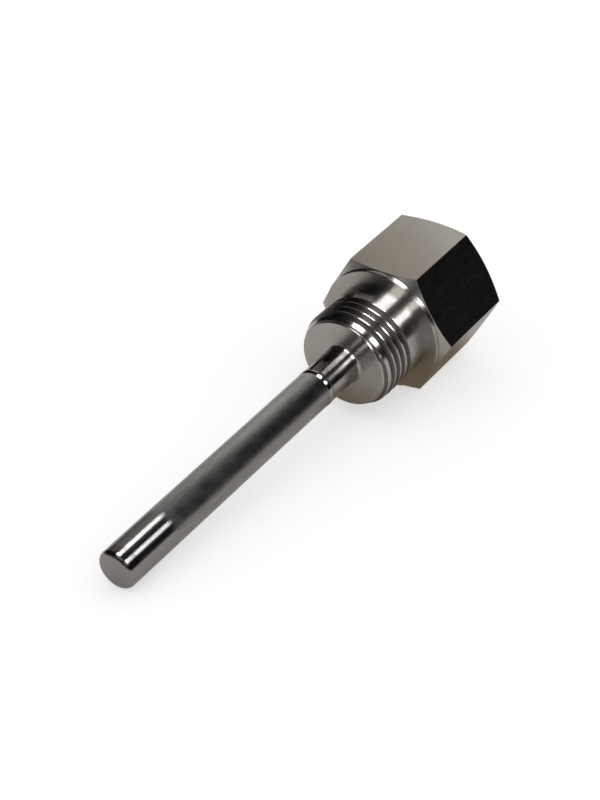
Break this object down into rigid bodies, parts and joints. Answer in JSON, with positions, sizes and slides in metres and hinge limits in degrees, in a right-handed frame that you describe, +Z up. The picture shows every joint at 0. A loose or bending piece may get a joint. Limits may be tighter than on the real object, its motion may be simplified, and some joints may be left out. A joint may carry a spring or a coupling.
{
  "type": "thermowell",
  "caption": "Thermowell: long hexagon head with a male pipe thread and a female instrument socket, and a slim closed stem welded to it for a temperature probe.",
  "frame": {"origin": "centre of the sealing face, where the well's axis crosses the front of the collar under the hexagon", "axes": "+Z up as it lies at rest on a flat of the hexagon and on its tip; +X from the tip towards the head, and +Y across the well. The well's axis lies in the XZ plane, 6.48 degrees above +X at the head end."},
  "size_m": [0.107, 0.0312, 0.0292],
  "materials": {
    "turned_steel": "turned bright stainless steel, fine circular tool marks",
    "drawn_steel": "satin drawn stainless steel tube",
    "polished_steel": "dressed and polished stainless steel"
  },
  "bodies": {
    "root": {"head": "turned_steel", "stem_tube": "drawn_steel", "end_plug": "polished_steel"}
  },
  "joints": []
}
